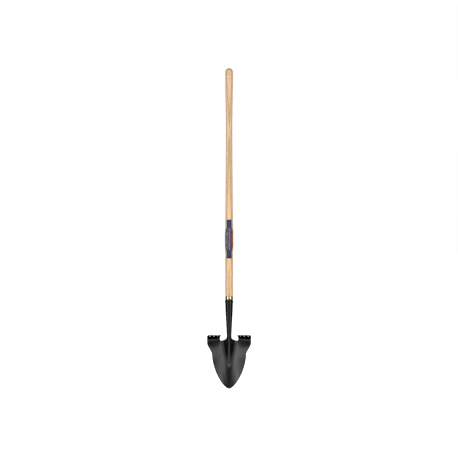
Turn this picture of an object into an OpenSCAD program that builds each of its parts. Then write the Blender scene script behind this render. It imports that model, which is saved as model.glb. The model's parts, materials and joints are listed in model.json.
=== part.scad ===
// Round point shovel with a long ash handle and a pressed steel head.
// +Z runs up the handle, the hollow face of the blade looks towards -Y, and the blade is
// symmetric left to right. The blade's tip touches the plane z = 0, and the origin is the
// middle of the outer box seen from below.

/* [Blade] */
// Overall width across the two foot steps
blade_w = 202.4; // [190:0.2:220]
// Width of the digging part at its waist, below the steps
waist_w = 157; // [145:1:165]
// Height of the waist above the tip
waist_z = 147; // [135:1:155]
// Thickness of the sheet steel
sheet_t = 2; // [1.5:0.1:3]
// Lean of the blade's upper end away from the handle's line, as a gradient
lean = 0.21; // [0.15:0.01:0.3]
// Extra forward sweep that the lengthwise curve gives the tip
sweep = 26.4; // [15:0.2:32]
// Steepness that the sides of the hollow approach, as a gradient
dish_slope = 0.75; // [0.5:0.05:0.9]
// How far the centre ridge (the frog) stands out of the blade at its root
frog_h = 25.6; // [24:0.1:27]
// Half width of that ridge at its root
frog_half_w = 30; // [26:0.5:31]
// Height above the tip at which the ridge dies out
frog_apex_z = 87; // [70:1:110]

/* [Steps] */
// Height of the free edge of the forward-turned foot steps
step_z = 239.2; // [236:0.2:246]
// Extra height of that edge at the outer end of a step
step_rise = 2.5; // [0:0.5:3]
// Gradient by which a step is turned forward of the blade
step_turn = 1.08; // [0.8:0.02:1.2]
// How much further in a step reaches at its free edge than at its fold
step_reach = 6; // [0:0.5:7]
// Diameter of the holes along each step
hole_d = 5; // [4:0.5:7]
// Distance between neighbouring holes
hole_pitch = 17.9; // [14:0.1:19]

/* [Socket] */
// Height of the socket's rim above the tip
socket_top_z = 402; // [380:0.5:420]
// Outer diameter at the rim
socket_top_d = 36.2; // [35:0.2:37]
// Outer diameter at the neck, just above the blade
neck_d = 23.8; // [23:0.2:25]
// Width of the open seam down the back
seam_w = 2; // [1:0.5:3]

/* [Handle] */
// Length of the wooden handle
handle_l = 1219; // [1000:1:1300]
// Length of its tapered end inside the socket
chuck_l = 158.5; // [120:0.5:161]
// Diameter of its lower, parallel stretch
handle_d = 38.1; // [38.1:0.1:38.4]
// Diameter of the slim part below the knob
waist_d = 30.1; // [28:0.1:33]
// Diameter of the knob at the end
knob_d = 36.3; // [34:0.1:38]
// Distance from the end to the slimmest place
waist_at = 275; // [200:5:330]
// Distance from the end to the top of the parallel stretch
swell_at = 880; // [800:5:900]

/* [Ring and rivet] */
// Outer diameter of the ring above the socket
ring_d = 38.6; // [38.4:0.1:39.5]
// Height of that ring
ring_h = 15.2; // [8:0.2:16]
// Shank diameter of the cross rivet
rivet_d = 5; // [4:0.5:6]
// Diameter of its two heads
rivet_head_d = 9.6; // [8:0.2:11]
// Height of each head
rivet_head_h = 2.8; // [2:0.1:3.5]
// Depth of the rivet below the socket's rim
rivet_depth = 12.5; // [10:0.5:20]

/* [Label] */
// Length of the wrapped label
label_l = 177; // [120:1:200]
// Height of its lower end above the tip
label_z = 590; // [540:1:620]
// Half angle that the plain end panels cover round the handle, in degrees
label_end_angle = 38; // [25:1:50]
// Half angle that the wide middle covers, in degrees
label_mid_angle = 104; // [80:1:120]

/* [Hidden] */
$fn = 96;

black_paint = [0.09, 0.09, 0.095];
ash_wood = [0.87, 0.74, 0.57];

// --- Helpers ---
function smooth(t) = let (u = min(1, max(0, t))) u * u * (3 - 2 * u);
function mix(a, b, t) = a + (b - a) * t;
function unit(v) = v / norm(v);

// --- The blade's outline, seen from the front ---
half_w = (blade_w - sheet_t) / 2;
waist_half_w = (waist_w - sheet_t) / 2;
tip_blunt = 0.5;
nose_inner_power = 1.57;
nose_outer_power = 0.633;
flare_start_z = waist_z + 1;
flare_end_z = waist_z + 57;
corner_r = 7;

function nose_half_width(z) =
    let (left = 1 - (z + tip_blunt) / (waist_z + tip_blunt))
    waist_half_w * pow(1 - pow(left, nose_inner_power), nose_outer_power);
function shoulder_half_width(z) =
    mix(waist_half_w, half_w, smooth((z - flare_start_z) / (flare_end_z - flare_start_z)));
function corner_cut(z) =
    let (over = max(0, z - (step_z - corner_r)))
    corner_r - sqrt(corner_r * corner_r - over * over);
function half_width(z) =
    z < waist_z ? nose_half_width(z) : shoulder_half_width(z) - corner_cut(z);

// --- The blade's front face, as a depth y over the front view ---
root_x = 26;
root_z = 213;
sweep_start_z = 220;
sweep_start_y = 15.3;
sweep_power = 1.5;
dish_r_tip = 95;
dish_r_mid = 85;
dish_r_top = 100;
dish_top_from_z = 125;
dish_top_to_z = 205;
step_inner_x = 42.6;
shoulder_slope = 0.41;
flat_start_z = 175;
flat_end_z = 212;
flat_start_x = 26;
flat_end_x = 37;
frog_spread = 0.62;
frog_rise = 1.15;
frog_crest = 0.2;
frog_foot = 0.15;
frog_hollow = 1.12;
frog_fade_x = 27;
bend_end_z = 223;
bend_inner = 7;
bend_outer = 9;
curl_turn = 0.13;
curl_inner = 8;
curl_outer = 52;
reach_start_z = 214;
reach_power = 1.5;

function valley_y(z) =
    let (below = sweep_start_z - z)
    sweep_start_y - lean * below - sweep * pow(max(0, below) / sweep_start_z, sweep_power);
function hollow(x, z) =
    let (low_r = mix(dish_r_tip, dish_r_mid, smooth(z / waist_z)))
    let (t = (z - dish_top_from_z) / (dish_top_to_z - dish_top_from_z))
    let (r = mix(low_r, dish_r_top, smooth(t)))
    dish_slope * (sqrt(x * x + r * r) - r);
// Behind the steps the hollow's side is flat, so that the step folds along a straight line
function flat_side(x, z) =
    hollow(step_inner_x, z) + shoulder_slope * (abs(x) - step_inner_x);
function dish(x, z) =
    let (up = smooth((z - flat_start_z) / (flat_end_z - flat_start_z)))
    let (out = smooth((abs(x) - flat_start_x) / (flat_end_x - flat_start_x)))
    mix(hollow(x, z), flat_side(x, z), up * out);
// The ridge has a rounded crest, nearly flat flanks and a rounded foot
function frog_section(u) =
    let (c = frog_crest)
    let (flank = 1 - (sqrt(u * u + c * c) - c) / (sqrt(1 + c * c) - c))
    pow((flank + sqrt(flank * flank + frog_foot * frog_foot)) / 2, frog_hollow);
function frog(x, z) =
    let (s = min(1, max(0, (z - frog_apex_z) / (root_z - frog_apex_z))))
    let (u = abs(x) / max(1, frog_half_w * pow(s, frog_spread)))
    let (fade = smooth((flat_end_x - abs(x)) / (flat_end_x - frog_fade_x)))
    frog_h * pow(s, frog_rise) * frog_section(u) * fade;
// How far a bend of unit steepness, ending at the foot of the step, has come forward
function bent(z, long) =
    let (q = max(0, z - (bend_end_z - long)))
    q < long ? q * q / (2 * long) : q - long / 2;
// A step curls forward gently from its shoulder and then folds sharply, and is flat above
function step_forward(x, z) =
    let (out = (abs(x) - step_inner_x) / (half_w - step_inner_x))
    curl_turn * bent(z, mix(curl_inner, curl_outer, out))
    + (step_turn - curl_turn) * bent(z, mix(bend_inner, bend_outer, out));
function face_y(x, z, on_step) =
    valley_y(z) - dish(x, z) - frog(x, z) - (on_step ? step_forward(x, z) : 0);
function face_normal(x, z, on_step) =
    let (e = 0.1)
    let (across = (face_y(x + e, z, on_step) - face_y(x - e, z, on_step)) / (2 * e))
    let (along = (face_y(x, z + e, on_step) - face_y(x, z - e, on_step)) / (2 * e))
    unit([across, -1, along]);

// --- The socket's outer radius by height ---
taper_from = 10;
taper_to = 180;
neck_z = 240;
function socket_r(z) =
    mix(socket_top_d, neck_d, smooth((socket_top_z - z - taper_from) / (taper_to - taper_from))) / 2;

// --- The sheet as a grid of rows up the blade and columns across it ---
notch_x = step_inner_x - 0.7;
notch_z = 211;
notch_r = 6;
notch_power = 2.2;
centre_columns = 12;
notch_columns = [29, 32, 35, 37, 38.8, 40.4, 41.4, notch_x];
step_columns = [step_inner_x, 46, 50, 54, 60, 67, 74, 81, 87, 92, 96.5, 99.2, half_w];
column_x = concat(
    [for (k = [0:centre_columns]) root_x * k / centre_columns],
    notch_columns,
    step_columns);
last_column = len(column_x) - 1;
step_column = centre_columns + 1 + len(notch_columns);
nose_rows = 15;
flare_rows = 6;
low_rows = concat(
    [for (k = [0:nose_rows]) waist_z * pow(k / nose_rows, 1.5)],
    [for (k = [1:flare_rows]) mix(waist_z, flare_end_z, k / flare_rows)]);
low_count = len(low_rows);
high_fractions = [0.1, 0.2, 0.27, 0.33, 0.38, 0.43, 0.48, 0.53, 0.62, 0.75, 0.86, 0.94, 1];
high_rows = len(high_fractions);
neck_rows = 8;
top_row = low_count - 1 + high_rows;
neck_row = top_row + neck_rows;
open_power = 2.2;

function side(i) = i < 0 ? -1 : 1;
function is_step(i) = abs(i) >= step_column;
function notch_round(x) =
    let (over = max(0, x - (notch_x - notch_r)))
    notch_r - sqrt(max(0, notch_r * notch_r - over * over));
function notch_rise(x) =
    (root_z - notch_z) * pow(max(0, notch_x - x) / (notch_x - root_x), notch_power);
function top_z(i) =
    let (x = column_x[abs(i)])
    is_step(i) ? step_z - step_rise * (half_w - x) / (half_w - step_inner_x) :
    x <= root_x ? root_z :
    notch_z + notch_rise(x) + notch_round(x);
function row_z(i, j) =
    j < low_count ? low_rows[j] :
    mix(flare_end_z, top_z(i), high_fractions[j - low_count]);
function inward(i, z) =
    let (share = (half_w - column_x[abs(i)]) / (half_w - step_inner_x))
    let (up = max(0, z - reach_start_z) / (step_z - reach_start_z))
    is_step(i) ? step_reach * share * pow(up, reach_power) : 0;
function face_point(i, j) =
    let (z = row_z(i, j))
    let (x = side(i) * (column_x[abs(i)] / half_w * half_width(z) - inward(i, z)))
    [x, face_y(x, z, is_step(i)), z];
// Above the blade the middle of the sheet closes from an arch into a tube
function neck_point(i, j) =
    let (f = (j - top_row) / neck_rows)
    let (z = mix(root_z, neck_z, f))
    let (r = socket_r(z))
    let (a = i / centre_columns * (180 - asin(seam_w / 2 / r)))
    let (open = pow(1 - f, open_power))
    let (arch = face_point(i, top_row))
    [mix(r * sin(a), arch[0], open), mix(-r * cos(a), arch[1], open), z];
function front_point(i, j) = j <= top_row ? face_point(i, j) : neck_point(i, j);
function neck_normal(i, j) =
    let (left = front_point(max(i - 1, -centre_columns), j))
    let (right = front_point(min(i + 1, centre_columns), j))
    let (below = front_point(i, j - 1), above = front_point(i, min(j + 1, neck_row)))
    let (n = unit(cross(right - left, above - below)))
    j == neck_row ? unit([n[0], n[1], 0]) : n;
function sheet_normal(i, j) =
    let (p = front_point(i, j))
    j <= top_row ? face_normal(p[0], p[2], is_step(i)) : neck_normal(i, j);
function back_point(i, j) = front_point(i, j) - sheet_t * sheet_normal(i, j);

grid = concat(
    [for (j = [0:top_row]) for (i = [-last_column:last_column]) [i, j]],
    [for (j = [top_row + 1:neck_row]) for (i = [-centre_columns:centre_columns]) [i, j]]);
grid_count = len(grid);
row_width = 2 * last_column + 1;
neck_width = 2 * centre_columns + 1;
function grid_index(i, j) =
    j <= top_row ? j * row_width + i + last_column :
    (top_row + 1) * row_width + (j - top_row - 1) * neck_width + i + centre_columns;
function cell(i, j) =
    let (a = grid_index(i, j), b = grid_index(i + 1, j))
    let (c = grid_index(i + 1, j + 1), d = grid_index(i, j + 1))
    i < 0 ? [[a, d, b], [b, d, c]] : [[a, d, c], [a, c, b]];
front_faces = concat(
    [for (j = [0:top_row - 1]) for (i = [-last_column:last_column - 1]) each cell(i, j)],
    [for (j = [top_row:neck_row - 1]) for (i = [-centre_columns:centre_columns - 1]) each cell(i, j)]);
back_faces = [for (f = front_faces) [f[2] + grid_count, f[1] + grid_count, f[0] + grid_count]];
rim = concat(
    [for (i = [-last_column:last_column]) grid_index(i, 0)],
    [for (j = [1:top_row]) grid_index(last_column, j)],
    [for (i = [last_column - 1:-1:centre_columns]) grid_index(i, top_row)],
    [for (j = [top_row + 1:neck_row]) grid_index(centre_columns, j)],
    [for (i = [centre_columns - 1:-1:-centre_columns]) grid_index(i, neck_row)],
    [for (j = [neck_row - 1:-1:top_row]) grid_index(-centre_columns, j)],
    [for (i = [-centre_columns - 1:-1:-last_column]) grid_index(i, top_row)],
    [for (j = [top_row - 1:-1:1]) grid_index(-last_column, j)]);
rim_faces = [for (k = [0:len(rim) - 1])
    let (a = rim[k], b = rim[(k + 1) % len(rim)])
    each [[a, b, b + grid_count], [a, b + grid_count, a + grid_count]]];
front_points = [for (g = grid) front_point(g[0], g[1])];
back_points = [for (g = grid) back_point(g[0], g[1])];
sheet_points = concat(front_points, back_points);

// --- Where the whole shovel stands: tip on z = 0, box centred on the origin ---
front_y = min([for (p = sheet_points) p[1]]);
low_z = min([for (p = sheet_points) p[2]]);
back_y = ring_d / 2;
axis_y = -(front_y + back_y) / 2;
stand = [0, axis_y, -low_z];

// --- Handle profile ---
handle_top_z = socket_top_z - chuck_l + handle_l;
handle_bottom_z = handle_top_z - handle_l;
dome_h = 17;
knob_l = 30;
ring_seat_d = 35.8;
fit_gap = 0.05;
ring_top_z = socket_top_z + ring_h;
rivet_z = socket_top_z - rivet_depth;

// Radius of the handle at a depth below its upper end
function grip_r(depth) =
    depth < dome_h ? knob_d / 2 * sqrt(max(0, 1 - pow(1 - depth / dome_h, 2))) :
    depth < dome_h + knob_l ? knob_d / 2 :
    depth < waist_at ?
        mix(knob_d, waist_d, smooth((depth - dome_h - knob_l) / (waist_at - dome_h - knob_l))) / 2 :
    mix(waist_d, handle_d, smooth((depth - waist_at) / (swell_at - waist_at))) / 2;
grip_depths = concat(
    [for (k = [0:8]) dome_h * (1 - cos(k * 90 / 8))],
    [dome_h + knob_l],
    [for (k = [1:12]) mix(dome_h + knob_l, waist_at, k / 12)],
    [for (k = [1:20]) mix(waist_at, swell_at, k / 20)]);
chuck_steps = 12;
chuck_chamfer = 2;

module handle_solid() {
    rotate_extrude()
        polygon(concat(
            [for (d = grip_depths) [grip_r(d), handle_top_z - d]],
            [[handle_d / 2, ring_top_z], [ring_seat_d / 2, ring_top_z], [ring_seat_d / 2, socket_top_z]],
            [for (k = [0:chuck_steps])
                let (z = mix(socket_top_z, handle_bottom_z + chuck_chamfer, k / chuck_steps))
                [socket_r(z) - sheet_t - fit_gap, z]],
            [[socket_r(handle_bottom_z) - sheet_t - chuck_chamfer, handle_bottom_z]],
            [[0, handle_bottom_z]]));
}

// The long ash handle: knob, slim neck, swell, ring seat and the chuck inside the socket
module handle() {
    color(ash_wood)
    translate(stand)
    difference() {
        handle_solid();
        translate([0, 0, rivet_z])
            rotate([0, 90, 0])
                cylinder(h = 60, d = rivet_d + 2 * fit_gap, center = true);
    }
}

// The bright ring that closes the joint between wood and socket
module ring() {
    edge = 0.6;
    bore_r = ring_seat_d / 2 + fit_gap;
    color([0.78, 0.66, 0.36])
    translate(stand)
    rotate_extrude()
        polygon(concat(
            [[bore_r, socket_top_z + fit_gap], [bore_r, ring_top_z - fit_gap]],
            [for (a = [90:-15:0])
                [ring_d / 2 - edge + edge * cos(a), ring_top_z - fit_gap - edge + edge * sin(a)]],
            [for (a = [0:-15:-90])
                [ring_d / 2 - edge + edge * cos(a), socket_top_z + fit_gap + edge + edge * sin(a)]]));
}

// The rolled tube above the blade, open along its back seam and drilled for the rivet
module socket() {
    steps = 18;
    heights = [for (k = [0:steps]) mix(neck_z, socket_top_z, k / steps)];
    color(black_paint)
    translate(stand)
    difference() {
        rotate_extrude()
            polygon(concat(
                [for (z = heights) [socket_r(z), z]],
                [for (k = [steps:-1:0]) [socket_r(heights[k]) - sheet_t, heights[k]]]));
        translate([-seam_w / 2, 0, neck_z - 1])
            cube([seam_w, 30, socket_top_z - neck_z + 2]);
        translate([0, 0, rivet_z])
            rotate([0, 90, 0])
                cylinder(h = 60, d = rivet_d + 2 * fit_gap, center = true);
    }
}

// The cross rivet: one shank through socket and handle, a domed head on each side
module rivet() {
    seat = socket_r(rivet_z) + fit_gap;
    under = 1.4;
    color([0.55, 0.56, 0.58])
    translate(stand)
    translate([0, 0, rivet_z])
    union() {
        rotate([0, 90, 0])
            cylinder(h = 2 * seat + 1, d = rivet_d, center = true);
        difference() {
            for (way = [90, -90])
                rotate([0, way, 0])
                    translate([0, 0, seat - under])
                        rotate_extrude()
                            polygon(concat(
                                [[0, 0], [rivet_head_d / 2, 0], [rivet_head_d / 2, under]],
                                [for (a = [0:15:90])
                                    [rivet_head_d / 2 * cos(a), under + rivet_head_h * sin(a)]]));
            cylinder(h = 30, r = seat, center = true);
        }
    }
}

// The label: two plain end panels and a wider middle that wraps round the handle
label_rows = 30;
label_columns = 22;
label_mid_from = 0.2;
label_mid_to = 0.8;
label_swell_power = 0.8;
label_lift = 0.12;
label_t = 0.2;
function label_angle(f) =
    f < label_mid_from || f > label_mid_to ? label_end_angle :
    let (u = (f - label_mid_from) / (label_mid_to - label_mid_from))
    mix(label_end_angle, label_mid_angle, pow(sin(180 * u), label_swell_power));
function label_point(i, j, lift) =
    let (f = j / label_rows)
    let (z = label_z + label_l * f)
    let (a = label_angle(f) * (2 * i / label_columns - 1))
    let (r = grip_r(handle_top_z - z) + lift)
    [r * sin(a), -r * cos(a), z];
function label_index(i, j) = j * (label_columns + 1) + i;

module label() {
    count = (label_columns + 1) * (label_rows + 1);
    points = concat(
        [for (j = [0:label_rows]) for (i = [0:label_columns]) label_point(i, j, label_lift + label_t)],
        [for (j = [0:label_rows]) for (i = [0:label_columns]) label_point(i, j, label_lift)]);
    outer = [for (j = [0:label_rows - 1]) for (i = [0:label_columns - 1])
        let (a = label_index(i, j), b = label_index(i + 1, j))
        let (c = label_index(i + 1, j + 1), d = label_index(i, j + 1))
        each [[a, d, c], [a, c, b]]];
    inner = [for (f = outer) [f[2] + count, f[1] + count, f[0] + count]];
    edge = concat(
        [for (i = [0:label_columns]) label_index(i, 0)],
        [for (j = [1:label_rows]) label_index(label_columns, j)],
        [for (i = [label_columns - 1:-1:0]) label_index(i, label_rows)],
        [for (j = [label_rows - 1:-1:1]) label_index(0, j)]);
    walls = [for (k = [0:len(edge) - 1])
        let (a = edge[k], b = edge[(k + 1) % len(edge)])
        each [[a, b, b + count], [a, b + count, a + count]]];
    color([0.16, 0.22, 0.45])
    translate(stand)
        polyhedron(points = points, faces = concat(outer, inner, walls));
}

// The blade: hollow face, centre ridge, forward-turned steps and the start of the neck
module blade() {
    hole_x = 69.2;
    hole_z = step_z - 5.5;
    hole_cut_h = 12;
    color(black_paint)
    translate(stand)
    difference() {
        polyhedron(points = sheet_points, faces = concat(front_faces, back_faces, rim_faces));
        for (way = [-1, 1], k = [-1:1]) {
            x = way * (hole_x + k * hole_pitch);
            n = face_normal(x, hole_z, true);
            translate([x, face_y(x, hole_z, true), hole_z])
                rotate([0, acos(n[2]), atan2(n[1], n[0])])
                    cylinder(h = hole_cut_h, d = hole_d, center = true);
        }
    }
}

handle();
label();
ring();
socket();
rivet();
blade();
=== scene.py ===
"""Round point shovel: the visible pieces, their materials, the studio and the camera.

Lengths in the shape functions are millimetres above the blade's tip and from the handle's
axis, as the CAD model has them. to_frame() puts them in the CAD frame, in metres.
"""
import json
import math

import bmesh
import bpy
import numpy as np
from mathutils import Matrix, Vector


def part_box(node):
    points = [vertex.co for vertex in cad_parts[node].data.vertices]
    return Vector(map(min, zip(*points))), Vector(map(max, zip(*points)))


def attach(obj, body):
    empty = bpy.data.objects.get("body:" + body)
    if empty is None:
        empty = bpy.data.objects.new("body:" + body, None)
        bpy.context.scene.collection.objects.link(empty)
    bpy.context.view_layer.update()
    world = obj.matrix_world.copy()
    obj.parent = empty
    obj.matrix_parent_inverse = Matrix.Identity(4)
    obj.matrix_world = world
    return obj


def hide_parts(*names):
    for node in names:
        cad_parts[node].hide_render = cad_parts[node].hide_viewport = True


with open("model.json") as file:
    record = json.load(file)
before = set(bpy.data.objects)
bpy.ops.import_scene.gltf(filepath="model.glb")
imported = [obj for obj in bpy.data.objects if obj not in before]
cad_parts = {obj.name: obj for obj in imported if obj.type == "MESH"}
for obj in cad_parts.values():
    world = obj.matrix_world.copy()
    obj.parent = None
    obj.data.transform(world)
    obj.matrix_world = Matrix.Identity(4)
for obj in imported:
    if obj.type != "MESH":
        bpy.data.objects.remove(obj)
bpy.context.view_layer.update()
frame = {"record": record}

MM = 0.001
mounts = {m["name"]: m for m in frame["record"]["mounts"]}
AXIS_Y = mounts["grip_end"]["pos_m"][1]
SOCKET_TOP_Z = 402.0
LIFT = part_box("socket")[1].z - SOCKET_TOP_Z * MM


def to_frame(points):
    """Millimetres from the handle's axis and the tip, to metres in the CAD frame."""
    return np.asarray(points, float) * MM + np.array([0.0, AXIS_Y, LIFT])


def smooth(t):
    u = np.clip(t, 0.0, 1.0)
    return u * u * (3 - 2 * u)


def mix(a, b, t):
    return a + (b - a) * t


# ---------------------------------------------------------------- sizes of the pressed head
SHEET_T = 2.0
# outline, seen from the front
HALF_W = 100.2
WAIST_HALF_W = 77.5
WAIST_Z = 147.0
TIP_BLUNT = 0.5
NOSE_INNER_POWER = 1.57
NOSE_OUTER_POWER = 0.633
FLARE_START_Z = 148.0
FLARE_END_Z = 204.0
CORNER_R = 7.0
# foot steps and the notches between them and the neck
STEP_Z = 239.2
STEP_RISE = 2.5
STEP_TURN = 1.08
STEP_INNER_X = 42.6
STEP_REACH = 6.0
STEP_REACH_FROM_Z = 214.0
STEP_REACH_POWER = 1.5
STEP_ROW_POWER = 1.35
NOTCH_X = 41.9
NOTCH_Z = 211.0
NOTCH_R = 6.0
NOTCH_POWER = 2.2
STEP_FROM_Z = NOTCH_Z + NOTCH_R
# lengthwise curve of the blade, and where the neck begins
ROOT_X = 26.0
ROOT_Y = 15.3
ROOT_Z = 213.0
LEAN = 0.21
SWEEP = 26.4
SWEEP_START_Z = 220.0
SWEEP_POWER = 1.5
# hollow of the blade, flattened on each side just under the steps
DISH_SLOPE = 0.75
DISH_R_TIP = 95.0
DISH_R_MID = 85.0
DISH_R_TOP = 100.0
DISH_TOP_FROM_Z = 125.0
DISH_TOP_TO_Z = 205.0
FLAT_SLOPE = 0.41
FLAT_START_Z = 175.0
FLAT_END_Z = 212.0
FLAT_FROM_X = 29.0
FLAT_TO_X = 42.0
# centre ridge, the frog
FROG_H = 25.6
FROG_HALF_W = 30.0
FROG_APEX_Z = 87.0
FROG_SPREAD = 0.62
FROG_RISE = 1.15
FROG_CREST = 0.2
FROG_FOOT = 0.15
FROG_HOLLOW = 1.12
FROG_FADE_X = 27.0
# fold of the steps: a soft curl and a sharper bend, both ending at the same height
BEND_END_Z = 223.0
BEND_INNER = 7.0
BEND_OUTER = 9.0
CURL_TURN = 0.13
CURL_INNER = 8.0
CURL_OUTER = 52.0
# holes along the steps
HOLE_D = 5.0
HOLE_XS = (51.3, 69.2, 87.1)
HOLE_INSET = 5.5
HOLE_Z = STEP_Z - HOLE_INSET
# neck and rolled socket
SOCKET_TOP_D = 36.2
NECK_D = 23.8
NECK_Z = 240.0
TAPER_FROM = 10.0
TAPER_L = 170.0
SEAM_W = 2.0
OPEN_POWER = 2.2


# ---------------------------------------------------------------- blade outline and face
def half_width(z):
    z = np.asarray(z, float)
    left = np.clip(1 - (z + TIP_BLUNT) / (WAIST_Z + TIP_BLUNT), 0, 1)
    nose = WAIST_HALF_W * (1 - left**NOSE_INNER_POWER) ** NOSE_OUTER_POWER
    flare = (z - FLARE_START_Z) / (FLARE_END_Z - FLARE_START_Z)
    shoulder = mix(WAIST_HALF_W, HALF_W, smooth(flare))
    over = np.clip(z - (STEP_Z - CORNER_R), 0, CORNER_R)
    corner = CORNER_R - np.sqrt(CORNER_R**2 - over**2)
    return np.where(z < WAIST_Z, nose, shoulder - corner)


def hollow(x, z):
    """How far the blade's trough has come forward at x: rounded in the middle, then straighter."""
    r = mix(DISH_R_TIP, DISH_R_MID, smooth(z / WAIST_Z))
    up = (z - DISH_TOP_FROM_Z) / (DISH_TOP_TO_Z - DISH_TOP_FROM_Z)
    r = mix(r, DISH_R_TOP, smooth(up))
    return DISH_SLOPE * (np.sqrt(x * x + r * r) - r)


def frog_section(u):
    """Cross section of the ridge: full height on its rounded crest, run out softly near u = 1."""
    crest = np.sqrt(u * u + FROG_CREST**2) - FROG_CREST
    flank = 1 - crest / (math.sqrt(1 + FROG_CREST**2) - FROG_CREST)
    return ((flank + np.sqrt(flank**2 + FROG_FOOT**2)) / 2) ** FROG_HOLLOW


def bent(z, long):
    """How far a bend of unit steepness and this length, ending at BEND_END_Z, has come forward."""
    q = np.maximum(0.0, z - (BEND_END_Z - long))
    return np.where(q < long, q * q / (2 * long), q - long / 2)


def face_y(x, z, step):
    """Depth of the sheet's front face; step is True on the columns that carry a foot step."""
    ax = np.abs(x)
    below = (SWEEP_START_Z - z) / SWEEP_START_Z
    valley = ROOT_Y - LEAN * SWEEP_START_Z * below - SWEEP * np.clip(below, 0, None) ** SWEEP_POWER
    flat = hollow(STEP_INNER_X, z) + FLAT_SLOPE * (ax - STEP_INNER_X)
    near = smooth((z - FLAT_START_Z) / (FLAT_END_Z - FLAT_START_Z))
    near = near * smooth((ax - FLAT_FROM_X) / (FLAT_TO_X - FLAT_FROM_X))
    dish = mix(hollow(x, z), flat, near)
    s = np.clip((z - FROG_APEX_Z) / (ROOT_Z - FROG_APEX_Z), 0, 1)
    u = ax / np.maximum(1, FROG_HALF_W * s**FROG_SPREAD)
    frog = FROG_H * s**FROG_RISE * frog_section(u)
    frog = frog * smooth((FLAT_TO_X - ax) / (FLAT_TO_X - FROG_FADE_X))
    out = (ax - STEP_INNER_X) / (HALF_W - STEP_INNER_X)
    turned = CURL_TURN * bent(z, mix(CURL_INNER, CURL_OUTER, out))
    turned = turned + (STEP_TURN - CURL_TURN) * bent(z, mix(BEND_INNER, BEND_OUTER, out))
    turned = np.where(step, turned, 0.0)
    return valley - dish - frog - turned


def socket_r(z):
    return mix(SOCKET_TOP_D, NECK_D, smooth((SOCKET_TOP_Z - z - TAPER_FROM) / TAPER_L)) / 2


# ---------------------------------------------------------------- the pressed head
CENTRE_COLUMNS = 26
COLUMN_X = np.concatenate([
    np.linspace(0, ROOT_X, CENTRE_COLUMNS + 1),
    [28, 30, 32, 34, 36, 37.9, 38.8, 39.6, 40.4, 41.1, 41.6, NOTCH_X],
    [STEP_INNER_X, 43.6, 45.3],
    np.linspace(47.8, 94.5, 19),
    [96.4, 97.9, 99.2, HALF_W],
])
LAST_COLUMN = len(COLUMN_X) - 1
STEP_COLUMN = CENTRE_COLUMNS + 13
LOW_ROWS = np.concatenate([
    [0, 0.7, 1.8, 3.2],
    np.linspace(5, WAIST_Z, 60),
    np.linspace(WAIST_Z, FLARE_END_Z, 27)[1:],
])
HIGH_ROWS = 6
STEP_ROWS = 18
NECK_ROWS = 18
SOCKET_ROWS = 54
MAIN_TOP = len(LOW_ROWS) - 1 + HIGH_ROWS
STEP_TOP = MAIN_TOP + STEP_ROWS
NECK_TOP = MAIN_TOP + NECK_ROWS
SOCKET_TOP = NECK_TOP + SOCKET_ROWS


def main_top_z(i):
    """Height of the sheet's upper edge, or of the line from which steps and neck go on."""
    x = COLUMN_X[abs(i)]
    if abs(i) >= STEP_COLUMN:
        return STEP_FROM_Z
    if x <= ROOT_X:
        return ROOT_Z
    over = max(0.0, x - (NOTCH_X - NOTCH_R))
    rounding = NOTCH_R - math.sqrt(max(0.0, NOTCH_R**2 - over**2))
    share = (NOTCH_X - x) / (NOTCH_X - ROOT_X)
    return NOTCH_Z + (ROOT_Z - NOTCH_Z) * share**NOTCH_POWER + rounding


def step_top_z(i):
    x = COLUMN_X[abs(i)]
    return STEP_Z - STEP_RISE * (HALF_W - x) / (HALF_W - STEP_INNER_X)


def face_point(i, z):
    x = COLUMN_X[abs(i)] / HALF_W * float(half_width(z))
    if abs(i) >= STEP_COLUMN:
        share = (HALF_W - COLUMN_X[abs(i)]) / (HALF_W - STEP_INNER_X)
        up = max(0.0, z - STEP_REACH_FROM_Z) / (STEP_Z - STEP_REACH_FROM_Z)
        x -= STEP_REACH * share * up**STEP_REACH_POWER
    x = math.copysign(x, i)
    return np.array([x, float(face_y(x, z, abs(i) >= STEP_COLUMN)), z])


def neck_point(i, j):
    """Above the blade the middle of the sheet closes from an arch into a rolled tube."""
    if j <= NECK_TOP:
        f = (j - MAIN_TOP) / NECK_ROWS
        z = mix(ROOT_Z, NECK_Z, f)
        opened = (1 - f) ** OPEN_POWER
    else:
        z = mix(NECK_Z, SOCKET_TOP_Z, (j - NECK_TOP) / SOCKET_ROWS)
        opened = 0.0
    r = float(socket_r(z))
    a = i / CENTRE_COLUMNS * (math.pi - math.asin(SEAM_W / 2 / r))
    arch = face_point(i, ROOT_Z)
    return np.array([mix(r * math.sin(a), arch[0], opened), mix(-r * math.cos(a), arch[1], opened), z])


def sheet_point(i, j):
    """A point of the sheet's front face, or None where the blank has no metal."""
    low_count = len(LOW_ROWS)
    if j < low_count:
        return face_point(i, LOW_ROWS[j])
    if j <= MAIN_TOP:
        return face_point(i, mix(FLARE_END_Z, main_top_z(i), (j - low_count + 1) / HIGH_ROWS))
    if abs(i) >= STEP_COLUMN and j <= STEP_TOP:
        f = (j - MAIN_TOP) / STEP_ROWS
        return face_point(i, mix(STEP_FROM_Z, step_top_z(i), 1 - (1 - f) ** STEP_ROW_POWER))
    if abs(i) <= CENTRE_COLUMNS and j <= SOCKET_TOP:
        return neck_point(i, j)
    return None


def press_waves(points, normals):
    """The faint unevenness that pressing leaves in sheet steel, along the normal."""
    height, top_z, fade_l = 0.07, 262.0, 20.0
    long_x, long_z, short_x, short_z = 17.0, 23.0, 9.1, 13.7
    x, _, z = points.T
    wave = np.sin(x / long_x + 1.3) * np.sin(z / long_z + 0.4) + 0.6 * np.sin(x / short_x - z / short_z)
    fade = smooth((top_z - z) / fade_l) * height
    return points + normals * (wave * fade)[:, None]


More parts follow.
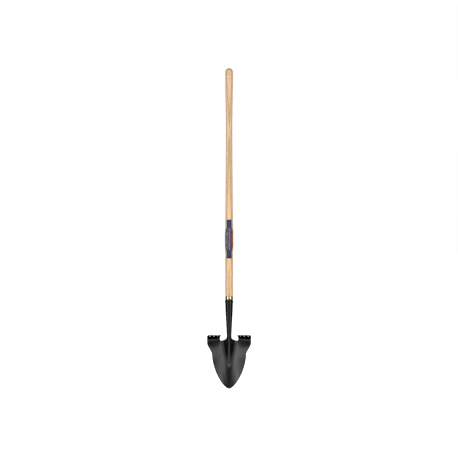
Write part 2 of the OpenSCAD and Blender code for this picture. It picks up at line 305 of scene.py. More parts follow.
def sheet_faces(index):
    """Quads between the grid's points, leaving out the notches beside the neck."""
    faces = []
    for (i, j), a in index.items():
        corners = [(i + 1, j), (i + 1, j + 1), (i, j + 1)]
        if any(c not in index for c in corners):
            continue
        past_neck = abs(i) > CENTRE_COLUMNS - (i >= 0)
        short_of_step = min(abs(i), abs(i + 1)) < STEP_COLUMN
        if j >= MAIN_TOP and past_neck and short_of_step:
            continue
        faces.append([a] + [index[c] for c in corners])
    return faces


def boundary_edges(faces):
    """The edges that only one face uses, each in that face's direction."""
    directed = set()
    for f in faces:
        directed.update(zip(f, f[1:] + f[:1]))
    return [(a, b) for a, b in directed if (b, a) not in directed]


def vertex_normals(points, faces):
    normals = np.zeros_like(points)
    quads = np.array(faces)
    n = np.cross(points[quads[:, 2]] - points[quads[:, 0]], points[quads[:, 3]] - points[quads[:, 1]])
    for k in range(4):
        np.add.at(normals, quads[:, k], n)
    return normals / np.linalg.norm(normals, axis=1)[:, None]


def relax_neck(points, faces):
    """Smooths the crease where the arch behind the ridge closes into the tube."""
    pairs = np.array(sorted({tuple(sorted(e)) for f in faces for e in zip(f, f[1:] + f[:1])}))
    rim = np.zeros(len(points), bool)
    rim[[v for e in boundary_edges(faces) for v in e]] = True
    inner = pairs[~(rim[pairs[:, 0]] & rim[pairs[:, 1]])]
    edge = pairs[rim[pairs[:, 0]] & rim[pairs[:, 1]]]
    rounds, strength = 14, 0.6
    low_z, high_z, wide_x = 203.0, 246.0, 36.0
    low_fade, high_fade, side_fade = 8.0, 14.0, 8.0
    x, z = np.abs(points[:, 0]), points[:, 2]
    weight = smooth((z - low_z) / low_fade) * smooth((high_z - z) / high_fade)
    weight = weight * smooth((wide_x - x) / side_fade) * strength
    for _ in range(rounds):
        total = np.zeros_like(points)
        count = np.zeros(len(points))
        for group, keep in ((inner, ~rim), (edge, rim)):
            for a, b in ((0, 1), (1, 0)):
                use = group[keep[group[:, a]]]
                np.add.at(total, use[:, a], points[use[:, b]])
                np.add.at(count, use[:, a], 1)
        mean = total / np.maximum(count, 1)[:, None]
        points = points + (mean - points) * (weight * (count > 1))[:, None]
    return points


# corners that turn by more than this stay sharp
SHARP_DEG = 38


def mesh_object(name, points, faces, sharp_deg=SHARP_DEG):
    mesh = bpy.data.meshes.new(name)
    mesh.from_pydata([tuple(p) for p in points], [], faces)
    mesh.update()
    obj = bpy.data.objects.new(name, mesh)
    bpy.context.collection.objects.link(obj)
    tidy(obj, sharp_deg)
    return obj


def tidy(obj, sharp_deg=SHARP_DEG):
    """Merges doubles, turns every face outward and keeps only real corners sharp."""
    bm = bmesh.new()
    bm.from_mesh(obj.data)
    bmesh.ops.remove_doubles(bm, verts=bm.verts, dist=1e-7)
    bmesh.ops.recalc_face_normals(bm, faces=bm.faces)
    for f in bm.faces:
        f.smooth = True
    bm.to_mesh(obj.data)
    bm.free()
    obj.data.set_sharp_from_angle(angle=math.radians(sharp_deg))


def make_head():
    """Blade, steps, neck and socket as one sheet of steel with rounded edges."""
    rows = range(SOCKET_TOP + 1)
    columns = range(-LAST_COLUMN, LAST_COLUMN + 1)
    index, points = {}, []
    for j in rows:
        for i in columns:
            p = sheet_point(i, j)
            if p is not None:
                index[(i, j)] = len(points)
                points.append(p)
    faces = sheet_faces(index)
    points = relax_neck(np.array(points), faces)
    normals = vertex_normals(points, faces)
    points = press_waves(points, normals)
    normals = vertex_normals(points, faces)
    back = points - SHEET_T * normals
    count = len(points)
    every = [points, back]
    solid_faces = faces + [[v + count for v in reversed(f)] for f in faces]

    # a rounded, sheared edge all the way round
    edge_bulge = 0.45
    edges = boundary_edges(faces)
    after = dict(edges)
    before = {b: a for a, b in edges}
    rim = sorted(after)
    along = np.array([points[after[v]] - points[before[v]] for v in rim])
    along /= np.linalg.norm(along, axis=1)[:, None]
    outward = np.cross(along, normals[rim])
    middle = (points[rim] + back[rim]) / 2
    ring_of = []
    for angle in (50, 90, 130):
        a = math.radians(angle)
        ring = middle + SHEET_T / 2 * (math.cos(a) * normals[rim] + edge_bulge * math.sin(a) * outward)
        ring_of.append({v: count * 2 + len(rim) * len(ring_of) + k for k, v in enumerate(rim)})
        every.append(ring)
    levels = [{v: v for v in rim}] + ring_of + [{v: v + count for v in rim}]
    for a, b in edges:
        for upper, lower in zip(levels, levels[1:]):
            solid_faces.append([upper[b], upper[a], lower[a], lower[b]])
    head = mesh_object("pressed_head", to_frame(np.concatenate(every)), solid_faces)
    punch_holes(head)
    return head


def step_normal(x):
    """Forward direction square to a step at the height of its holes."""
    e = 0.1
    across = (face_y(x + e, HOLE_Z, True) - face_y(x - e, HOLE_Z, True)) / (2 * e)
    upward = (face_y(x, HOLE_Z + e, True) - face_y(x, HOLE_Z - e, True)) / (2 * e)
    return Vector((float(across), -1.0, float(upward))).normalized()


def punch_holes(head):
    """The three holes along each foot step."""
    punch_l = 12 * MM
    bm = bmesh.new()
    for way in (-1, 1):
        for hole_x in HOLE_XS:
            x = way * hole_x
            centre = Vector(to_frame([x, float(face_y(x, HOLE_Z, True)), HOLE_Z]))
            turn = step_normal(x).to_track_quat("Z", "Y").to_matrix().to_4x4()
            turn.translation = centre
            bmesh.ops.create_cone(bm, cap_ends=True, segments=40, radius1=HOLE_D / 2 * MM,
                                  radius2=HOLE_D / 2 * MM, depth=punch_l, matrix=turn)
    mesh = bpy.data.meshes.new("punches")
    bm.to_mesh(mesh)
    bm.free()
    punches = bpy.data.objects.new("punches", mesh)
    bpy.context.collection.objects.link(punches)
    cut = head.modifiers.new("holes", "BOOLEAN")
    cut.operation = "DIFFERENCE"
    cut.solver = "EXACT"
    cut.object = punches
    evaluated = head.evaluated_get(bpy.context.evaluated_depsgraph_get())
    done = bpy.data.meshes.new_from_object(evaluated)
    head.modifiers.clear()
    head.data = done
    bpy.data.objects.remove(punches)
    tidy(head)


# ---------------------------------------------------------------- turned pieces
def lathe(profile, segments, wobble=None):
    """Points and faces of a closed shape turned about the handle's axis from (r, z) pairs."""
    points, faces, rings = [], [], []
    for r, z in profile:
        if r < 1e-6:
            rings.append([len(points)])
            points.append((0.0, 0.0, z))
            continue
        rings.append(list(range(len(points), len(points) + segments)))
        for k in range(segments):
            a = 2 * math.pi * k / segments
            reach = r + (wobble(a, z) if wobble else 0.0)
            points.append((reach * math.sin(a), -reach * math.cos(a), z))
    pairs = list(zip(rings, rings[1:]))
    if len(rings[0]) > 1:
        pairs.append((rings[-1], rings[0]))
    for low, high in pairs:
        for k in range(segments):
            n = (k + 1) % segments
            if len(low) == 1 and len(high) == 1:
                continue
            if len(low) == 1:
                faces.append([low[0], high[n], high[k]])
            elif len(high) == 1:
                faces.append([low[k], low[n], high[0]])
            else:
                faces.append([low[k], low[n], high[n], high[k]])
    return points, faces


HANDLE_TOP_Z = 1462.5
HANDLE_L = 1219.0
HANDLE_D = 38.1
SLIM_D = 30.1
KNOB_D = 36.3
SLIM_AT = 275.0
SWELL_AT = 880.0
DOME_H = 17.0
KNOB_L = 30.0
CHUCK_CHAMFER = 2.0
RING_SEAT_D = 35.8
RING_D = 38.6
RING_H = 15.2
RING_TOP_Z = SOCKET_TOP_Z + RING_H
FIT_GAP = 0.05


def grip_r(depth):
    """The handle's radius at a depth below its upper end."""
    if depth < DOME_H:
        return KNOB_D / 2 * math.sqrt(max(0.0, 1 - (1 - depth / DOME_H) ** 2))
    if depth < SLIM_AT:
        slimmer = (depth - DOME_H - KNOB_L) / (SLIM_AT - DOME_H - KNOB_L)
        return mix(KNOB_D, SLIM_D, float(smooth(slimmer))) / 2
    return mix(SLIM_D, HANDLE_D, float(smooth((depth - SLIM_AT) / (SWELL_AT - SLIM_AT)))) / 2


def make_handle():
    """Turned ash, very slightly out of round between its knob and the ring, with its hidden chuck."""
    bottom = HANDLE_TOP_Z - HANDLE_L
    chamfer = 0.6
    ring_gap = 0.02
    depths = [DOME_H * (1 - math.cos(math.radians(90 * k / 14))) for k in range(15)]
    depths += list(np.linspace(DOME_H, KNOB_L + DOME_H, 5)[1:])
    depths += list(np.linspace(KNOB_L + DOME_H, SWELL_AT, 90)[1:])
    depths += list(np.linspace(SWELL_AT, HANDLE_TOP_Z - RING_TOP_Z - chamfer, 16)[1:])
    profile = [(grip_r(d), HANDLE_TOP_Z - d) for d in depths]
    profile.append((HANDLE_D / 2 - chamfer, RING_TOP_Z + ring_gap))
    profile += [(RING_SEAT_D / 2, RING_TOP_Z + ring_gap), (RING_SEAT_D / 2, SOCKET_TOP_Z)]
    for z in np.linspace(SOCKET_TOP_Z, bottom + CHUCK_CHAMFER, 25):
        profile.append((float(socket_r(z)) - SHEET_T - FIT_GAP, float(z)))
    profile += [(float(socket_r(bottom)) - SHEET_T - CHUCK_CHAMFER, bottom), (0.0, bottom)]

    def wobble(a, z):
        low_z, high_z, fade_l = 430.0, 1400.0, 60.0
        oval, oval_l, lobed, lobed_l = 0.06, 210.0, 0.03, 90.0
        free = float(smooth((z - low_z) / fade_l) * smooth((high_z - z) / fade_l))
        return -free * (oval + oval * math.sin(2 * a + z / oval_l) + lobed * math.sin(3 * a - z / lobed_l))

    points, faces = lathe(profile, 96, wobble=wobble)
    return mesh_object("ash_handle", to_frame(points), faces)


def make_ring():
    """A drawn band with a small rounded edge at each end."""
    inner, outer = RING_SEAT_D / 2 + FIT_GAP, RING_D / 2
    low, high = SOCKET_TOP_Z + FIT_GAP, RING_TOP_Z - FIT_GAP
    edge_r = 0.6
    edge_h = 2 * edge_r + 0.2
    wall = outer - 0.15
    crown = 0.02

    def rounded_edge(z):
        """Half a circle round the height z, from its upper to its lower end."""
        turns = [math.radians(angle) for angle in range(90, -91, -15)]
        return [(outer - edge_r + edge_r * math.cos(t), z + edge_r * math.sin(t)) for t in turns]

    profile = [(inner, low), (inner, high)] + rounded_edge(high - edge_r)
    profile += [(wall, high - edge_h), (wall + crown, (low + high) / 2), (wall, low + edge_h)]
    profile += rounded_edge(low + edge_r)
    points, faces = lathe(profile, 96)
    return mesh_object("bright_ring", to_frame(points), faces, sharp_deg=60)


RIVET_INSET = 12.5
RIVET_Z = SOCKET_TOP_Z - RIVET_INSET
RIVET_D = 5.0
RIVET_HEAD_D = 9.6
RIVET_HEAD_H = 2.8


def make_rivet():
    """One shank across the socket, with a hammered dome on each side."""
    seat = float(socket_r(RIVET_Z)) + FIT_GAP
    reach = RIVET_HEAD_D / 2
    overlap, sunk_in, rim_h = 0.5, 1.0, 0.25
    profile = [(0.0, -overlap), (RIVET_D / 2, -overlap), (RIVET_D / 2, seat - sunk_in)]
    profile += [(reach, seat - sunk_in), (reach, seat + rim_h)]
    for t in np.radians(range(10, 90, 10)):
        profile.append((reach * math.cos(t), seat + rim_h + (RIVET_HEAD_H - rim_h) * math.sin(t)))
    profile.append((0.0, seat + RIVET_HEAD_H))
    points, faces = lathe(profile, 40)
    pts = np.array(points)
    blows = [(1.7, 0.6), (-1.5, 1.4), (0.2, -1.9), (-2.2, -1.2), (2.3, -1.4), (0.3, 2.6)]
    blow_depth, blow_spread = 0.16, 1.1
    dent = np.zeros(len(pts))
    for x, y in blows:
        dent += blow_depth * np.exp(-((pts[:, 0] - x) ** 2 + (pts[:, 1] - y) ** 2) / blow_spread)
    above_rim = pts[:, 2] > seat + rim_h + 0.05
    pts[:, 2] -= dent * above_rim
    halves, all_faces = [], []
    for way in (1, -1):
        turned = np.column_stack([way * pts[:, 2], pts[:, 0] * way, pts[:, 1] + RIVET_Z])
        all_faces += [[v + len(pts) * len(halves) for v in f] for f in faces]
        halves.append(turned)
    # a head's underside follows the round socket
    every = np.concatenate(halves)
    sunk = np.sqrt(np.clip(seat**2 - every[:, 1] ** 2, 0, None))
    under = np.abs(np.abs(every[:, 0]) - (seat - sunk_in)) < 0.1
    every[under, 0] = np.sign(every[under, 0]) * sunk[under]
    return mesh_object("cross_rivet", to_frame(every), all_faces, sharp_deg=50)


LABEL_L = 177.0
LABEL_Z = 590.0
LABEL_END_ANGLE = 38.0
LABEL_MID_ANGLE = 104.0
LABEL_MID_FROM = 0.2
LABEL_MID_TO = 0.8
LABEL_LIFT = 0.12
LABEL_T = 0.2
LABEL_CORNER = 3.0
LABEL_SWELL_POWER = 0.8
LABEL_SEAT_R = 18.0
PRINT_MM = 200.0


def label_angle(f):
    """Half angle that the label covers at a share f of its length."""
    if LABEL_MID_FROM < f < LABEL_MID_TO:
        u = (f - LABEL_MID_FROM) / (LABEL_MID_TO - LABEL_MID_FROM)
        return mix(LABEL_END_ANGLE, LABEL_MID_ANGLE, math.sin(math.pi * u) ** LABEL_SWELL_POWER)
    from_end = min(f, 1 - f) * LABEL_L
    over = max(0.0, LABEL_CORNER - from_end)
    cut = LABEL_CORNER - math.sqrt(max(0.0, LABEL_CORNER**2 - over**2))
    return LABEL_END_ANGLE - math.degrees(cut / LABEL_SEAT_R)


def make_label():
    """The printed film, with its print laid out in a UV map of PRINT_MM millimetres a side."""
    rows, columns = 118, 48
    ends = [0, 0.002, 0.005, 0.01]
    shares = ends + list(np.linspace(0.015, 0.985, rows)) + [1 - e for e in reversed(ends)]
    front, uv = [], []
    for f in shares:
        z = LABEL_Z + LABEL_L * f
        r = grip_r(HANDLE_TOP_Z - z) + LABEL_LIFT + LABEL_T
        for i in range(columns + 1):
            a = math.radians(label_angle(f)) * (2 * i / columns - 1)
            front.append((r * math.sin(a), -r * math.cos(a), z))
            uv.append((0.5 + r * a / PRINT_MM, (z - LABEL_Z) / PRINT_MM))
    front = np.array(front)
    inward = front * [1, 1, 0]
    inward /= np.linalg.norm(inward, axis=1)[:, None]
    back = front - inward * LABEL_T
    width = columns + 1
    faces = [[j * width + i, j * width + i + 1, (j + 1) * width + i + 1, (j + 1) * width + i]
             for j in range(len(shares) - 1) for i in range(columns)]
    count = len(front)
    solid = faces + [[v + count for v in reversed(f)] for f in faces]
    solid += [[b, a, a + count, b + count] for a, b in boundary_edges(faces)]
    label = mesh_object("printed_label", to_frame(np.concatenate([front, back])), solid)
    layer = label.data.uv_layers.new(name="print")
    flat = uv + uv
    for loop in label.data.loops:
        layer.data[loop.index].uv = flat[loop.vertex_index]
    return label


# ---------------------------------------------------------------- materials
class Nodes:
    """A short way to write node trees."""

    def __init__(self, name):
        self.material = bpy.data.materials.new(name)
        self.material.use_nodes = True
        self.tree = self.material.node_tree
        self.bsdf = self.tree.nodes["Principled BSDF"]

    def add(self, kind, inputs=None, **settings):
        node = self.tree.nodes.new(kind)
        for key, value in settings.items():
            setattr(node, key, value)
        for key, value in (inputs or {}).items():
            self.put(node.inputs[key], value)
        return node

    def put(self, socket, value):
        if isinstance(value, bpy.types.NodeSocket):
            self.tree.links.new(value, socket)
        else:
            socket.default_value = value

    def set(self, **inputs):
        for key, value in inputs.items():
            self.put(self.bsdf.inputs[key.replace("_", " ")], value)

    def noise(self, scale, detail=3.0, rough=0.55):
        """Noise over object coordinates; scale is in cells per metre along x, y and z."""
        where = self.add("ShaderNodeTexCoord").outputs["Object"]
        where = self.add("ShaderNodeMapping", {"Vector": where, "Scale": scale}).outputs[0]
        return self.add("ShaderNodeTexNoise", {"Vector": where, "Scale": 1.0, "Detail": detail,
                                               "Roughness": rough}).outputs[0]

    def math(self, operation, *values, clamp=False):
        node = self.add("ShaderNodeMath", operation=operation, use_clamp=clamp)
        for socket, value in zip(node.inputs, values):
            self.put(socket, value)
        return node.outputs[0]

    def ramp(self, factor, *stops):
        node = self.add("ShaderNodeValToRGB", {"Fac": factor})
        elements = node.color_ramp.elements
        while len(elements) < len(stops):
            elements.new(0.5)
        for element, (at, colour) in zip(elements, stops):
            element.position = at
            element.color = (*colour, 1.0)
        return node.outputs[0]

    def span(self, factor, low, high, to_low=0.0, to_high=1.0):
        node = self.add("ShaderNodeMapRange", {"Value": factor, "From Min": low, "From Max": high,
                                               "To Min": to_low, "To Max": to_high})
        return node.outputs[0]

    def blend(self, factor, a, b, mode="MIX"):
        node = self.add("ShaderNodeMix", data_type="RGBA", blend_type=mode)
        self.put(node.inputs[0], factor)
        self.put(node.inputs[6], a if isinstance(a, bpy.types.NodeSocket) else (*a, 1.0))
        self.put(node.inputs[7], b if isinstance(b, bpy.types.NodeSocket) else (*b, 1.0))
        return node.outputs[2]

    def shade(self, colour, value):
        """The colour times a grey of this value."""
        grey = self.add("ShaderNodeCombineColor", {0: value, 1: value, 2: value}).outputs[0]
        return self.blend(1.0, colour, grey, mode="MULTIPLY")

    def bump(self, height, distance, strength=1.0, under=None):
        node = self.add("ShaderNodeBump", {"Height": height, "Distance": distance, "Strength": strength})
        if under is not None:
            self.put(node.inputs["Normal"], under)
        return node.outputs[0]


def ash_wood():
    """Lacquered ash: growth rings cut lengthwise, drifting colour, open pores in the early wood."""
    n = Nodes("ash_wood")
    ring_spacing = 0.0042
    pith_x, pith_y, pith_lean = 0.001, AXIS_Y + 0.030, 0.002
    ring_start = 0.0492
    drift_l, fine_drift_l = 0.008, 0.0016
    where = n.add("ShaderNodeTexCoord").outputs["Object"]
    part = n.add("ShaderNodeSeparateXYZ", {"Vector": where})
    drift = n.noise((14, 14, 2.2), detail=2.0)
    drift_fine = n.noise((90, 90, 7.0), detail=2.0)
    lean_x = n.math("MULTIPLY", part.outputs["Z"], pith_lean)
    x = n.math("SUBTRACT", n.math("ADD", part.outputs["X"], lean_x), pith_x)
    y = n.math("SUBTRACT", part.outputs["Y"], pith_y)
    square = n.math("ADD", n.math("MULTIPLY", x, x), n.math("MULTIPLY", y, y))
    distance = n.math("SQRT", square)
    drift = n.math("MULTIPLY", n.math("SUBTRACT", drift, 0.5), drift_l)
    drift_fine = n.math("MULTIPLY", n.math("SUBTRACT", drift_fine, 0.5), fine_drift_l)
    distance = n.math("ADD", distance, n.math("ADD", drift, drift_fine))
    inward = n.math("SUBTRACT", ring_start, distance)
    ring = n.math("FRACT", n.math("MULTIPLY", inward, 1 / ring_spacing))
    grain = n.ramp(ring, (0.0, (0.0, 0.0, 0.0)), (0.14, (0.75, 0.75, 0.75)), (0.30, (1.0, 1.0, 1.0)),
                   (0.60, (0.72, 0.72, 0.72)), (0.88, (0.15, 0.15, 0.15)), (1.0, (0.0, 0.0, 0.0)))
    tint = n.span(n.noise((45, 45, 1.6), detail=2.0), 0.35, 0.65)
    pale = n.blend(tint, (0.77, 0.53, 0.31), (0.76, 0.475, 0.27))
    deep = n.blend(tint, (0.42, 0.26, 0.115), (0.44, 0.245, 0.115))
    colour = n.blend(n.math("MULTIPLY", n.math("SUBTRACT", 1.0, grain), 0.9), pale, deep)
    fibre = n.noise((900, 900, 16), detail=4.0, rough=0.6)
    colour = n.shade(colour, n.span(fibre, 0.3, 0.7, 0.9, 1.08))
    pores = n.noise((1500, 1500, 55), detail=1.0)
    early = n.math("LESS_THAN", ring, 0.3)
    pore = n.math("MULTIPLY", n.span(pores, 0.60, 0.70), early)
    colour = n.blend(n.math("MULTIPLY", pore, 0.45), colour, (0.24, 0.13, 0.06))
    # the wood darkens towards the grip, most of all on its knob
    colour = n.shade(colour, n.span(part.outputs["Z"], 0.35, 1.45, 1.0, 0.76))
    end = n.span(part.outputs["Z"], 1.40, HANDLE_TOP_Z * MM)
    colour = n.blend(n.math("MULTIPLY", end, 0.6), colour, (0.40, 0.25, 0.12))
    polish = n.noise((220, 220, 40), detail=3.0)
    n.set(Base_Color=colour, Roughness=n.span(polish, 0.3, 0.7, 0.34, 0.5), Coat_Weight=0.22,
          Coat_Roughness=0.22, Specular_IOR_Level=0.45)
    height = n.math("SUBTRACT", n.math("MULTIPLY", fibre, 0.5), n.math("MULTIPLY", pore, 0.7))
    n.set(Normal=n.bump(height, 0.00012, 0.5))
    return n.material


def black_paint():
    """Satin enamel on pressed steel: orange peel, a little dust grey and thin paint on the edges."""
    n = Nodes("black_enamel")
    cloud = n.noise((38, 38, 38), detail=4.0)
    peel = n.noise((620, 620, 620), detail=2.0)
    speck = n.noise((2400, 2400, 2400), detail=1.0)
    base = n.blend(n.span(cloud, 0.3, 0.7), (0.0010, 0.0011, 0.0012), (0.0022, 0.0023, 0.0024))
    base = n.blend(n.math("MULTIPLY", n.span(speck, 0.66, 0.75), 0.25), base, (0.03, 0.03, 0.03))
    worn = n.span(n.add("ShaderNodeNewGeometry").outputs["Pointiness"], 0.52, 0.60)
    patchy = n.math("MULTIPLY", worn, n.span(cloud, 0.45, 0.62))
    base = n.blend(n.math("MULTIPLY", patchy, 0.35), base, (0.09, 0.09, 0.09))
    rough = n.math("ADD", n.span(cloud, 0.25, 0.75, 0.17, 0.22), n.span(speck, 0.5, 0.75, 0.0, 0.06))
    n.set(Base_Color=base, Roughness=rough, Specular_IOR_Level=0.5, Coat_Weight=0.1, Coat_Roughness=0.2)
    fine = n.bump(peel, 0.00010, 0.35)
    n.set(Normal=n.bump(cloud, 0.0006, 0.25, under=fine))
    return n.material


def bright_metal():
    """Polished yellow metal with faint lines turned round it."""
    n = Nodes("bright_ring_metal")
    turned = n.noise((60, 60, 5200), detail=2.0)
    tarnish = n.noise((160, 160, 240), detail=3.0)
    colour = n.blend(n.span(tarnish, 0.35, 0.7), (0.95, 0.86, 0.62), (0.82, 0.70, 0.42))
    n.set(Base_Color=colour, Metallic=0.93, Roughness=n.span(tarnish, 0.3, 0.7, 0.11, 0.19))
    n.set(Normal=n.bump(turned, 0.00003, 0.4))
    return n.material


def rivet_steel():
    """Dull steel, blotched and lightly scratched."""
    n = Nodes("rivet_steel")
    blotch = n.noise((500, 500, 500), detail=3.0)
    scratch = n.noise((300, 2600, 2600), detail=2.0)
    colour = n.blend(n.span(blotch, 0.35, 0.68), (0.46, 0.47, 0.48), (0.28, 0.28, 0.28))
    n.set(Base_Color=colour, Metallic=1.0, Roughness=n.span(blotch, 0.3, 0.7, 0.30, 0.46))
    n.set(Normal=n.bump(scratch, 0.00006, 0.5))
    return n.material


def label_print():
    """Generic print without lettering: plain blue ends, a wide middle with coloured fields."""
    n = Nodes("label_print")
    # places on the print in millimetres, across from its middle and along from its lower end
    fields_half_w = 34.0
    stripe_at, stripe_half_w = 1.7, 2.3
    border_from = 10.4
    middle_start, middle_full = 33.0, 36.5
    middle_fading, middle_end = 140.5, 144.0
    rules = ((36.0, 1.6), (141.0, 1.6), (3.0, 3.2), (174.0, 3.2))
    spot = n.add("ShaderNodeSeparateXYZ", {"Vector": n.add("ShaderNodeUVMap", uv_map="print").outputs[0]})
    across = n.math("MULTIPLY", n.math("SUBTRACT", spot.outputs["X"], 0.5), PRINT_MM)
    along = n.math("MULTIPLY", spot.outputs["Y"], PRINT_MM)
    wiggle = n.noise((130, 130, 70), detail=3.0)
    moved = n.math("ADD", across, n.span(wiggle, 0.3, 0.7, -2.2, 2.2))

    # the middle's coloured fields, side by side
    share = n.span(moved, -fields_half_w, fields_half_w)
    fields = n.ramp(share, (0.0, (0.15, 0.12, 0.115)), (0.17, (0.115, 0.075, 0.065)),
                    (0.26, (0.085, 0.06, 0.05)), (0.33, (0.10, 0.095, 0.11)),
                    (0.43, (0.016, 0.045, 0.062)), (0.52, (0.08, 0.04, 0.09)),
                    (0.60, (0.095, 0.03, 0.07)), (0.66, (0.15, 0.02, 0.035)),
                    (0.75, (0.16, 0.035, 0.022)), (0.86, (0.20, 0.085, 0.04)),
                    (1.0, (0.18, 0.10, 0.055)))
    speckle = n.noise((190, 190, 150), detail=3.0, rough=0.7)
    left = n.span(moved, -3.0, -7.0)
    light = n.math("MULTIPLY", n.span(speckle, 0.52, 0.60), n.math("MULTIPLY", left, 0.75))
    dark = n.math("MULTIPLY", n.span(speckle, 0.47, 0.40), n.math("MULTIPLY", left, 0.8))
    fields = n.blend(light, fields, (0.34, 0.31, 0.29))
    fields = n.blend(dark, fields, (0.02, 0.018, 0.02))
    patch = n.noise((60, 60, 55), detail=3.0, rough=0.6)
    right = n.span(moved, 7.0, 12.0)
    orange = n.math("MULTIPLY", n.span(patch, 0.50, 0.60), n.math("MULTIPLY", right, 0.75))
    fields = n.blend(orange, fields, (0.26, 0.095, 0.022))
    from_stripe = n.math("ABSOLUTE", n.math("SUBTRACT", across, stripe_at))
    stripe = n.math("LESS_THAN", from_stripe, stripe_half_w)
    fields = n.blend(stripe, fields, (0.125, 0.14, 0.30))

    # the blue ends with their greyer side borders
    border = n.math("GREATER_THAN", n.math("ABSOLUTE", across), border_from)
    blue = n.blend(n.span(wiggle, 0.35, 0.65), (0.002, 0.026, 0.125), (0.012, 0.034, 0.140))
    ends = n.blend(border, blue, (0.05, 0.04, 0.065))

    # the middle between the ends, with dark rules where it starts and stops and at both ends
    past_start = n.span(along, middle_start, middle_full)
    before_end = n.span(along, middle_end, middle_fading)
    colour = n.blend(n.math("MULTIPLY", past_start, before_end), ends, fields)
    rule = 0.0
    for at, half_w in rules:
        rule = n.math("ADD", rule, n.math("COMPARE", along, at, half_w), clamp=True)
    colour = n.blend(n.math("MULTIPLY", rule, 0.85), colour, (0.008, 0.012, 0.035))
    dots = n.noise((1800, 1800, 1800), detail=1.0)
    n.set(Base_Color=colour, Roughness=n.span(dots, 0.3, 0.7, 0.34, 0.46), Specular_IOR_Level=0.3)
    n.set(Normal=n.bump(n.noise((320, 320, 60), detail=2.0), 0.00008, 0.4))
    return n.material


def dress(obj, material, slot, *nodes):
    """Gives a piece its material, hangs it from the root body and hides the CAD nodes it stands for; its
    slot is not used.
    """
    obj.data.materials.clear()
    obj.data.materials.append(material)
    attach(obj, "root")
    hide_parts(*nodes)


# ---------------------------------------------------------------- camera and studio
CAMERA_DISTANCE = 5.0
CAMERA_HEIGHT = 0.7250
CAMERA_X = -0.0004
SENSOR = 36.0
VIEW_WIDTH = 2.104
DOME_R = 28.0
WORLD_STRENGTH = 0.5
# power of a soft box per square metre and unit of brightness
LIGHT_POWER = 4.0


def make_camera():
    """Straight in front of the hollow face, about level with the middle of the shovel."""
    data = bpy.data.cameras.new("camera")
    data.sensor_width = SENSOR
    data.lens = SENSOR * CAMERA_DISTANCE / VIEW_WIDTH
    data.clip_start = 0.1
    data.clip_end = 60.0
    camera = bpy.data.objects.new("camera", data)
    camera.location = (CAMERA_X, AXIS_Y - CAMERA_DISTANCE, CAMERA_HEIGHT)
    camera.rotation_euler = (math.radians(90), 0, 0)
    bpy.context.collection.objects.link(camera)
    bpy.context.scene.camera = camera


def soft_box(name, angle, distance, height, size, brightness):
    """An upright light, seen from the shovel at an angle to the camera's right."""
    data = bpy.data.lights.new(name, "AREA")
    data.shape = "RECTANGLE"
    data.size, data.size_y = size
    data.energy = brightness * LIGHT_POWER * size[0] * size[1]
    light = bpy.data.objects.new(name, data)
    a = math.radians(angle)
    light.location = (distance * math.sin(a), AXIS_Y - distance * math.cos(a), height)
    aim = Vector((0, AXIS_Y, height)) - light.location
    light.rotation_euler = aim.to_track_quat("-Z", "Y").to_euler()
    light.visible_camera = False
    bpy.context.collection.objects.link(light)


def show_to_camera_only(obj):
    obj.visible_diffuse = False
    obj.visible_glossy = False
    obj.visible_shadow = False


def make_backdrop():
    """A plain white dome, which only the camera sees."""
    bm = bmesh.new()
    bmesh.ops.create_icosphere(bm, subdivisions=4, radius=DOME_R)
    mesh = bpy.data.meshes.new("backdrop")
    bm.to_mesh(mesh)
    bm.free()
    backdrop = bpy.data.objects.new("backdrop", mesh)
    bpy.context.collection.objects.link(backdrop)
    n = Nodes("white_backdrop")
    n.set(Base_Color=(0, 0, 0, 1), Roughness=1.0, Emission_Color=(1, 1, 1, 1), Emission_Strength=1.0)
    mesh.materials.append(n.material)
    show_to_camera_only(backdrop)


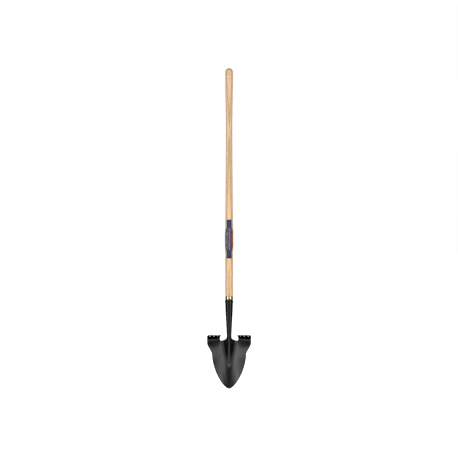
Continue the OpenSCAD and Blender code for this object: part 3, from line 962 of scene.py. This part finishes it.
# name, degrees to the camera's right, distance, height, (width, height), brightness
LIGHTS = (
    ("low_left", -41, 2.4, -0.25, (1.2, 1.3), 1.3),
    ("low_right", 41, 2.4, -0.25, (1.2, 1.3), 1.3),
    ("mid_left", -26, 2.4, 0.72, (0.85, 0.60), 2.2),
    ("mid_right", 26, 2.4, 0.72, (0.85, 0.60), 2.2),
    ("broad_left", -43, 2.4, 1.87, (2.7, 1.46), 1.15),
    ("main_left", -46, 2.4, 1.83, (2.1, 0.95), 1.3),
    ("upper_left", -46, 2.4, 2.15, (2.1, 0.90), 1.4),
    ("core_left", -31, 2.4, 2.01, (0.55, 0.67), 4.6),
    ("broad_right", 43, 2.4, 1.88, (2.7, 1.48), 1.1),
    ("main_right", 45, 2.4, 1.85, (1.9, 1.00), 0.7),
    ("upper_right", 45, 2.4, 2.15, (2.1, 0.90), 1.1),
    ("core_right", 34, 2.4, 2.04, (0.59, 0.74), 4.3),
    ("front_fill", 0, 3.4, 1.00, (1.8, 4.0), 0.16),
    ("back_left", -150, 2.6, 1.4, (1.2, 2.4), 2.0),
    ("back_right", 150, 2.6, 1.4, (1.2, 2.4), 1.6),
    ("back_low_left", -140, 2.6, -0.80, (1.8, 1.6), 1.5),
    ("back_low_right", 140, 2.6, -0.80, (1.8, 1.6), 1.2),
)


def make_floor():
    """A plain pale floor at the height of the blade's tip, which only the camera sees."""
    reach = 30.0
    drop = 0.0005
    mesh = bpy.data.meshes.new("floor")
    corners = [(-reach, -reach, 0), (reach, -reach, 0), (reach, reach, 0), (-reach, reach, 0)]
    mesh.from_pydata(corners, [], [[0, 1, 2, 3]])
    floor = bpy.data.objects.new("floor", mesh)
    floor.location.z = -drop
    bpy.context.collection.objects.link(floor)
    n = Nodes("pale_floor")
    grain = n.noise((3, 3, 3), detail=2.0)
    pale = n.blend(n.span(grain, 0.3, 0.7), (0.90, 0.90, 0.90), (0.94, 0.94, 0.94))
    n.set(Base_Color=pale, Roughness=0.9, Emission_Color=(1, 1, 1, 1), Emission_Strength=1.0)
    mesh.materials.append(n.material)
    show_to_camera_only(floor)


def make_studio():
    for light in LIGHTS:
        soft_box(*light)
    make_floor()
    make_backdrop()
    world = bpy.data.worlds.new("studio")
    world.use_nodes = True
    sky = world.node_tree.nodes["Background"]
    sky.inputs["Color"].default_value = (1, 1, 1, 1)
    sky.inputs["Strength"].default_value = WORLD_STRENGTH
    bpy.context.scene.world = world
    world.cycles_visibility.glossy = False
    bpy.context.scene.view_settings.view_transform = "Standard"


make_camera()
make_studio()
dress(make_head(), black_paint(), "black_paint", "blade", "socket")
dress(make_handle(), ash_wood(), "ash_wood", "handle")
dress(make_ring(), bright_metal(), "bright_ring", "ring")
dress(make_rivet(), rivet_steel(), "rivet_steel", "rivet")
dress(make_label(), label_print(), "label_film", "label")
